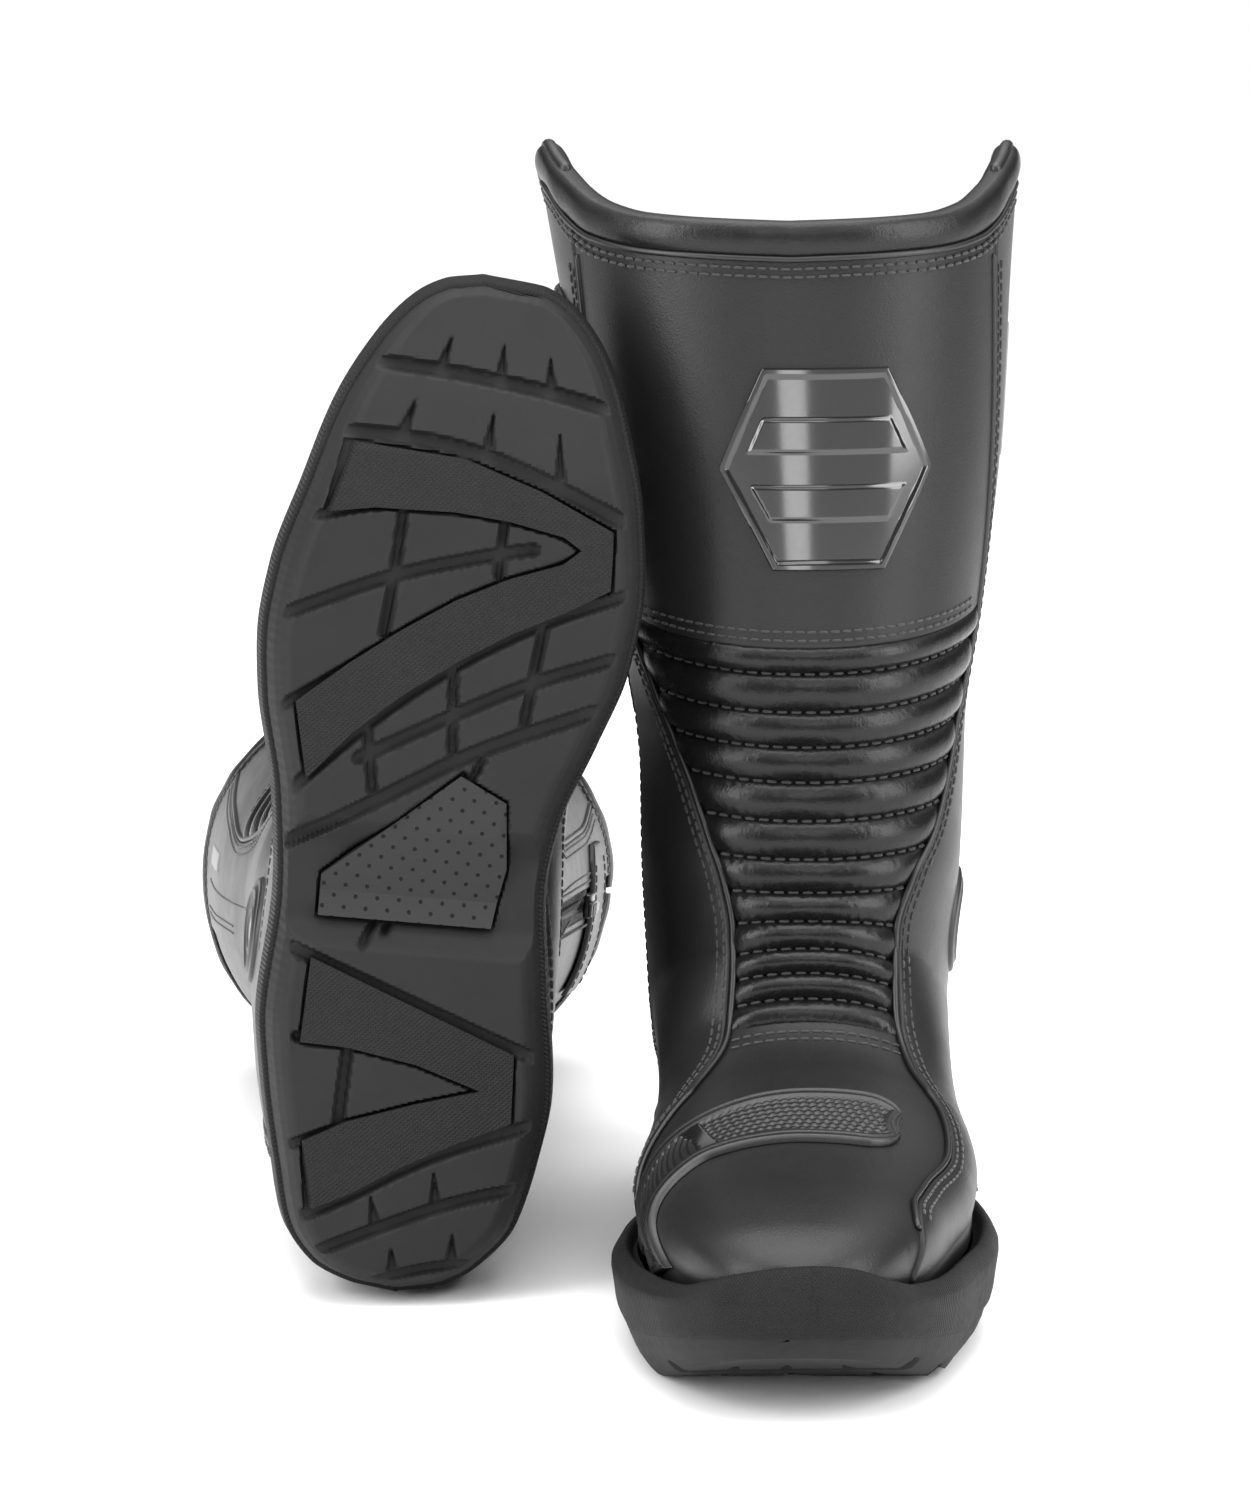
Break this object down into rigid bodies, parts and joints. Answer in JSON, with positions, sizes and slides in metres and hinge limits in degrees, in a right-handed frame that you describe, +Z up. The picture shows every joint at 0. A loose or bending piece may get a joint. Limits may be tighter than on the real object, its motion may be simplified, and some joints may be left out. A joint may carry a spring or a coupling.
{
  "type": "riding boots",
  "caption": "Pair of tall black touring riding boots with ribbed instep panel, padded collar, side zip and lugged sole, one standing and one lying on its back.",
  "frame": {"origin": "middle of the pair's floor rectangle, on the floor that both boots rest on", "axes": "+Z up, +Y from the standing boot's toe towards its heel, +X towards the standing (left) boot's outer side"},
  "size_m": [0.2734, 0.4662, 0.3377],
  "materials": {
    "outsole_rubber": "matt moulded rubber",
    "insert_rubber": "fine diamond texture",
    "shank_steel": "brushed",
    "board": "fibre board",
    "guard_plastic": "moulded",
    "footbed_fabric": "brushed knit",
    "lining_fabric": "mesh knit",
    "upper_leather": "smooth microfibre leather",
    "soft_leather": "soft padded leather",
    "moulded_trim": "satin",
    "gloss_badge": "gloss",
    "collar_leather": "soft padded leather",
    "zip_tape": "woven tape",
    "zip_metal": "black coated metal",
    "thread": "bonded thread",
    "piping": "satin cord",
    "silver_print": "reflective print"
  },
  "bodies": {
    "left_foot": {"left_outsole": "outsole_rubber", "left_forefoot_insert": "insert_rubber", "left_heel_insert": "insert_rubber", "left_arch_plate": "insert_rubber", "left_shank": "shank_steel", "left_insole_board": "board", "left_footbed": "footbed_fabric", "left_toe_puff": "board", "left_heel_counter": "board", "left_foot_lining": "lining_fabric", "left_vamp": "upper_leather", "left_lateral_quarter": "upper_leather", "left_medial_quarter": "upper_leather", "left_heel_panel": "upper_leather", "left_shift_pad": "moulded_trim", "left_ankle_guard": "moulded_trim", "left_flex_panel": "soft_leather", "left_ankle_panel": "soft_leather"},
    "left_shaft": {"left_shin_panel": "upper_leather", "left_shin_guard": "guard_plastic", "left_shin_badge": "gloss_badge", "left_lateral_shaft_panel": "upper_leather", "left_medial_shaft_panel": "upper_leather", "left_calf_panel": "upper_leather", "left_shaft_lining": "lining_fabric", "left_collar_pad": "collar_leather", "left_zip_chain": "zip_tape"},
    "left_slider": {"left_zip_slider": "zip_metal"},
    "left_pull": {"left_zip_pull": "zip_metal"},
    "left_flap": {"left_closure_flap": "upper_leather"},
    "right_foot": {"right_outsole": "outsole_rubber", "right_forefoot_insert": "insert_rubber", "right_heel_insert": "insert_rubber", "right_arch_plate": "insert_rubber", "right_shank": "shank_steel", "right_insole_board": "board", "right_footbed": "footbed_fabric", "right_toe_puff": "board", "right_heel_counter": "board", "right_foot_lining": "lining_fabric", "right_vamp": "upper_leather", "right_lateral_quarter": "upper_leather", "right_medial_quarter": "upper_leather", "right_heel_panel": "upper_leather", "right_shift_pad": "moulded_trim", "right_ankle_guard": "moulded_trim", "right_flex_panel": "soft_leather", "right_ankle_panel": "soft_leather"},
    "right_shaft": {"right_shin_panel": "upper_leather", "right_shin_guard": "guard_plastic", "right_shin_badge": "gloss_badge", "right_lateral_shaft_panel": "upper_leather", "right_medial_shaft_panel": "upper_leather", "right_calf_panel": "upper_leather", "right_shaft_lining": "lining_fabric", "right_collar_pad": "collar_leather", "right_zip_chain": "zip_tape"},
    "right_slider": {"right_zip_slider": "zip_metal"},
    "right_pull": {"right_zip_pull": "zip_metal"},
    "right_flap": {"right_closure_flap": "upper_leather"}
  },
  "joints": [
    {"name": "boots_apart", "type": "slide", "parent": "left_foot", "child": "right_foot", "axis": [-1, 0, 0], "range_m": [0, 0.12]},
    {"name": "left_ankle_flex", "type": "hinge", "parent": "left_foot", "child": "left_shaft", "pos_m": [0.06708, -0.02548, 0.099], "axis": [1, 0, 0], "range_deg": [-8, 2.5], "stiffness_Nm_per_rad": 6, "deforming": ["left_flex_panel", "left_ankle_panel"]},
    {"name": "left_zip", "type": "slide", "parent": "left_shaft", "child": "left_slider", "axis": [0.1738, -0.089, -0.9808], "range_m": [0, 0.075]},
    {"name": "left_zip_pull_swing", "type": "hinge", "parent": "left_slider", "child": "left_pull", "pos_m": [-0.00068, -0.01263, 0.24965], "axis": [0.0148, 0.996, -0.0878], "range_deg": [0, 150]},
    {"name": "left_flap_opening", "type": "hinge", "parent": "left_shaft", "child": "left_flap", "pos_m": [0.00518, 0.02393, 0.27761], "axis": [0.1577, -0.1187, -0.9803], "range_deg": [0, 110]},
    {"name": "right_ankle_flex", "type": "hinge", "parent": "right_foot", "child": "right_shaft", "pos_m": [-0.04977, -0.00903, 0.09307], "axis": [0.9933, 0.0625, -0.0976], "range_deg": [-8, 18], "stiffness_Nm_per_rad": 6, "deforming": ["right_flex_panel", "right_ankle_panel"]},
    {"name": "right_zip", "type": "slide", "parent": "right_shaft", "child": "right_slider", "axis": [-0.0985, -0.9841, 0.1475], "range_m": [0, 0.075]},
    {"name": "right_zip_pull_swing", "type": "hinge", "parent": "right_slider", "child": "right_pull", "pos_m": [0.00623, 0.14475, 0.06722], "axis": [0.103, 0.1373, 0.9852], "range_deg": [0, 150]},
    {"name": "right_flap_opening", "type": "hinge", "parent": "right_shaft", "child": "right_flap", "pos_m": [-0.00492, 0.17046, 0.03024], "axis": [0.0798, 0.9812, -0.1755], "range_deg": [0, 110]}
  ]
}
